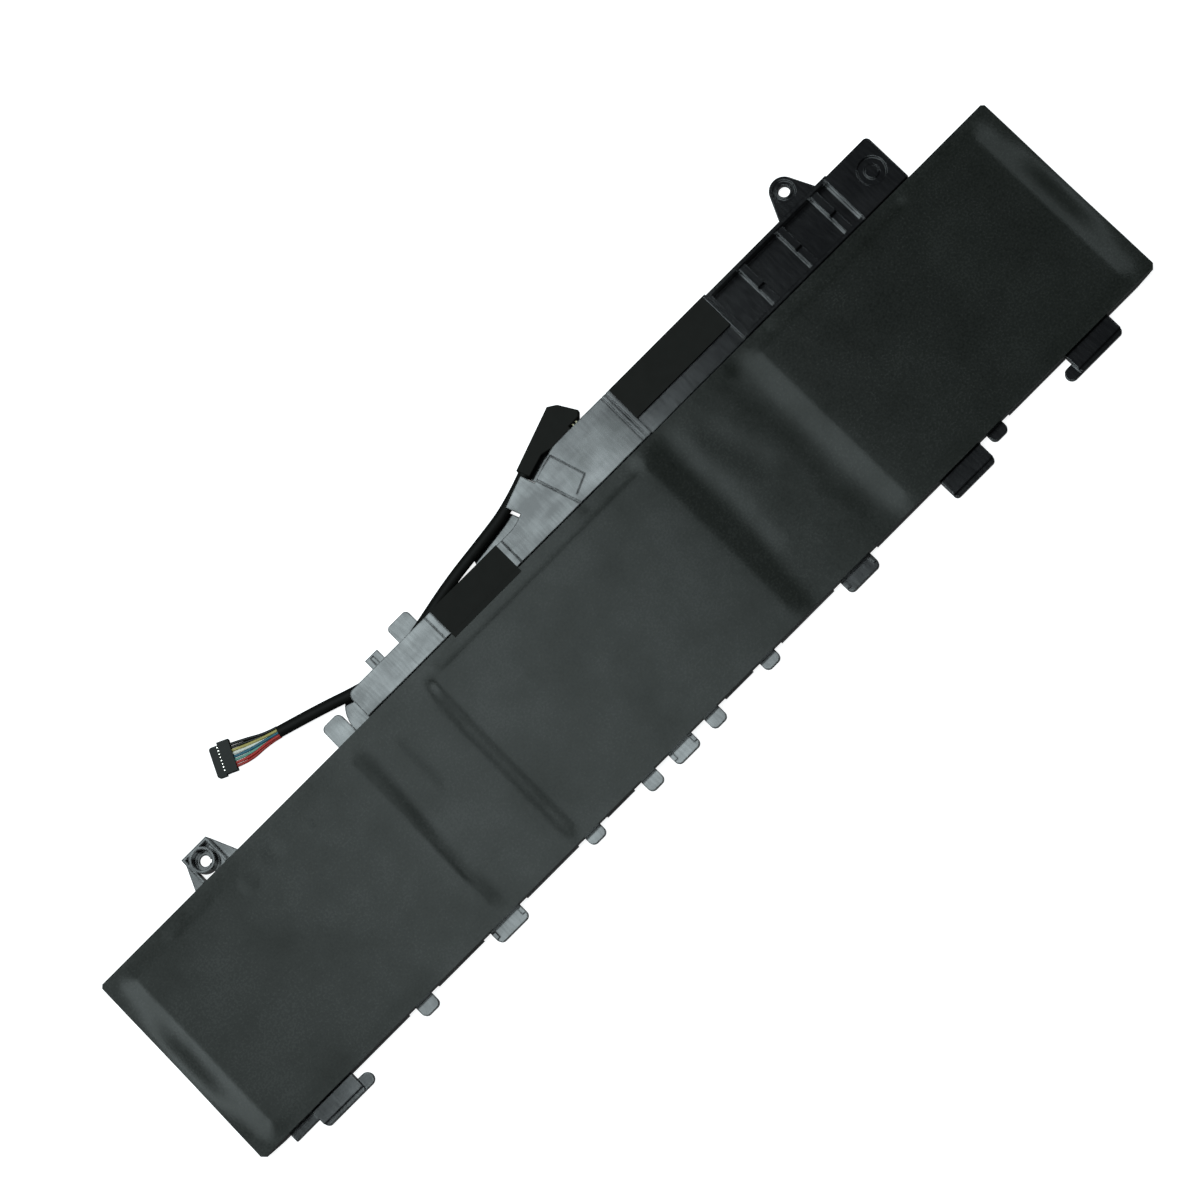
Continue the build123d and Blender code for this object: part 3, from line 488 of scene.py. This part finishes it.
# The hem is folded straight down over the rails. Its ends are trimmed to the slopes under the ends of the
# pack.
hem_height = 0.0022
slope_top = 0.003
slope_run = 0.0062
slope_rise = 0.00285
pick_edges(wrap, lambda edge: edge.is_boundary)
bpy.ops.mesh.extrude_edges_move(TRANSFORM_OT_translate={"value": (0, 0, -0.0002)})
bpy.ops.transform.resize(value=(1, 1, 0), center_override=(0, 0, hem_height))
for side, end_x in ((-1, low.x), (1, high.x)):
    cut((end_x, 0, slope_top), (side * slope_rise, 0, -slope_run))
bpy.ops.object.mode_set(mode="OBJECT")
bpy.ops.object.shade_smooth_by_angle(angle=radians(40))

# A blister, a dent and a smudge near the left screw ear: their places and reach in millimetres, and their
# height in steps of the film's relief.
marks = (
    (52.8, 50.8, 3.6, 4),
    (43.1, 50, 3.2, -3.5),
    (63.4, 49.4, 2, -1.5),
)
wrap_finish, tree, shader = new_finish("wrap_film")
place = finish_node(tree, "ShaderNodeTexCoord", {}, {})
parts = finish_node(tree, "ShaderNodeSeparateXYZ", {}, {"Vector": Signal(place.outputs["Object"])})
bumps = 0
for x, y, reach, height in marks:
    spot = at(x, y, 0)
    across = (1000 / reach) * (Signal(parts.outputs["X"]) - spot.x)
    along = (1000 / reach) * (Signal(parts.outputs["Y"]) - spot.y)
    inside = 1 - across * across - along * along
    inside = inside.maths("MAXIMUM", inside, 0)
    bumps = height * inside * inside + bumps
broad = grain(tree, 14, detail=4)
fine = grain(tree, 0.55, detail=2)
mottle = 0.6 * broad + 2 * fine - 0.8
fill(
    shader,
    {
        "Base Color": shade(tree, (0.003, 0.004, 0.003), (0.009, 0.01, 0.0085), mottle),
        "Roughness": 0.17 + 0.08 * broad + 0.1 * fine,
        "Specular IOR Level": 0.06,
        "Specular Tint": (1, 1, 0.96, 1),
        "Coat Weight": 0.14 * broad + 0.05 * fine - 0.04,
        "Coat Roughness": 0.22,
    },
)
relief(tree, shader, 0.4 * fine + 3 * broad + bumps, 0.06)
dress(wrap, wrap_finish)
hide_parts("top_film")
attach(wrap, "root")

# Tapes and pad: dull black tape over the duct and round the start of the lead, and a thin pad on the
# lowered part of the housing. All three are stuck on.
tape_finish, tree, shader = new_finish("tape_black")
tape_black = shade(tree, (0.005, 0.005, 0.004), (0.008, 0.008, 0.007), grain(tree, 3))
fill(shader, {"Base Color": tape_black, "Roughness": 0.75, "Specular IOR Level": 0.1})
relief(tree, shader, grain(tree, 0.3) + grain(tree, 4), 0.05)
for name in ("duct_tape", "root_tape", "housing_pad"):
    dress(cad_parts[name], tape_finish)

# Wire ends: tinned joints, where the wires of the lead come through the housing's wall from the board. The
# last few show in the gap beside the root tape.
joint_finish, tree, shader = new_finish("joint_metal")
uneven = 0.25 + 0.3 * grain(tree, 0.3)
fill(shader, {"Base Color": (0.5, 0.46, 0.3, 1), "Metallic": 0.6, "Roughness": uneven})
dress(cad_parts["wire_joints"], joint_finish)

# Hidden side: plain plastic films, one under the cells and one that closes the housing under the board.
# They are dull black like the wrap.
under_finish, tree, shader = new_finish("under_film")
fill(shader, {"Base Color": (0.014, 0.015, 0.015, 1), "Roughness": 0.6})
relief(tree, shader, grain(tree, 0.3) + grain(tree, 9), 0.04)
for name in ("bottom_film", "housing_film"):
    dress(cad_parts[name], under_finish)

# Inside: three sealed foil pouch cells on adhesive strips, their tabs on nickel links, and the board with
# its chips, switches, fuse, shunt and thermistor. Each row: the slot, how its nodes' names start, the
# colour, the roughness and how metallic it is.
inside = (
    ("cell_foil", "cell_", (0.62, 0.63, 0.65), 0.35, 0.9),
    ("cell_glue", "glue_", (0.7, 0.7, 0.66), 0.8, 0.0),
    ("tab_metal", "tab_", (0.7, 0.7, 0.69), 0.35, 1.0),
    ("link_nickel", "link_", (0.6, 0.58, 0.53), 0.3, 1.0),
    ("board_green", "board", (0.02, 0.1, 0.05), 0.4, 0.0),
    ("chip_black", "gauge_chip protector_chip switch_", (0.02, 0.02, 0.02), 0.5, 0.0),
    ("fuse_white", "fuse", (0.55, 0.53, 0.48), 0.5, 0.0),
    ("shunt_metal", "shunt", (0.35, 0.33, 0.3), 0.35, 1.0),
    ("bead_black", "thermistor", (0.03, 0.03, 0.03), 0.45, 0.0),
)
for slot_name, starts, colour, roughness, metal in inside:
    inner_finish, tree, shader = new_finish(slot_name)
    dull = tuple(0.8 * part for part in colour)
    inner_colour = shade(tree, colour, dull, grain(tree, 2))
    uneven = roughness - 0.05 + 0.15 * grain(tree, 0.6)
    fill(shader, {"Base Color": inner_colour, "Metallic": metal, "Roughness": uneven})
    for name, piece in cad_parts.items():
        if name.startswith(tuple(starts.split())):
            dress(piece, inner_finish)

# Studio: a pale floor under a large soft panel, which the gloss mirrors from near the pack's left end to
# past its middle. A strip on each side is mirrored in the slopes at the pack's ends. The floor glows white
# in the picture, and is kept nearly black in what the pack mirrors.
bpy.ops.object.select_all(action="DESELECT")
bpy.ops.mesh.primitive_plane_add(size=30, location=(0, 0, 0))
floor = bpy.context.object
floor.name = "floor"
floor_finish, tree, shader = new_finish("floor")
fill(shader, {"Base Color": (0.5, 0.5, 0.5, 1), "Roughness": 0.9, "Specular IOR Level": 0})
rays = finish_node(tree, "ShaderNodeLightPath", {}, {})
direct, mirrored, refracted = (
    Signal(rays.outputs[f"Is {kind} Ray"]) for kind in ("Camera", "Glossy", "Transmission")
)
seen = direct + mirrored + refracted
glow = finish_node(tree, "ShaderNodeEmission", {}, {"Color": (1, 1, 1, 1), "Strength": 0.82 * seen})
plain = Signal(shader.outputs[0])
lit = finish_node(tree, "ShaderNodeAddShader", {}, {0: plain, 1: Signal(glow.outputs[0])})
dark = finish_node(tree, "ShaderNodeBsdfDiffuse", {}, {"Color": (0.04, 0.04, 0.04, 1)})
darkened = finish_node(
    tree,
    "ShaderNodeMixShader",
    {},
    {0: 0.92 * mirrored, 1: Signal(lit.outputs[0]), 2: Signal(dark.outputs[0])},
)
fill(tree.nodes["Material Output"], {"Surface": Signal(darkened.outputs[0])})
dress(floor, floor_finish)

# Each lamp: its left and right ends along the pack, its depth across the pack, and its radiance.
lamp_centre = 0.25
lamp_height = 1.2
for name, left, right, depth, radiance in (
    ("panel", -0.26, 0.08, 1.2, 9.5),
    ("left_strip", -0.66, -0.48, 0.5, 24),
    ("right_strip", 0.52, 0.64, 0.5, 13),
):
    lamp_data = bpy.data.lights.new(name, "AREA")
    lamp_data.shape = "RECTANGLE"
    lamp_data.size = right - left
    lamp_data.size_y = depth
    lamp_data.energy = radiance * pi * (right - left) * depth
    lamp_data.color = (0.87, 1, 1.03)
    lamp = bpy.data.objects.new(name, lamp_data)
    lamp.location = ((left + right) / 2, lamp_centre, lamp_height)
    bpy.context.scene.collection.objects.link(lamp)

# The room is white in the picture and dim as a light.
world = bpy.data.worlds.new("studio")
bpy.context.scene.world = world
world.use_nodes = True
rays = finish_node(world.node_tree, "ShaderNodeLightPath", {}, {})
brightness = 0.1 + 0.9 * Signal(rays.outputs["Is Camera Ray"])
fill(world.node_tree.nodes["Background"], {"Color": (0.9, 0.95, 1, 1), "Strength": brightness})
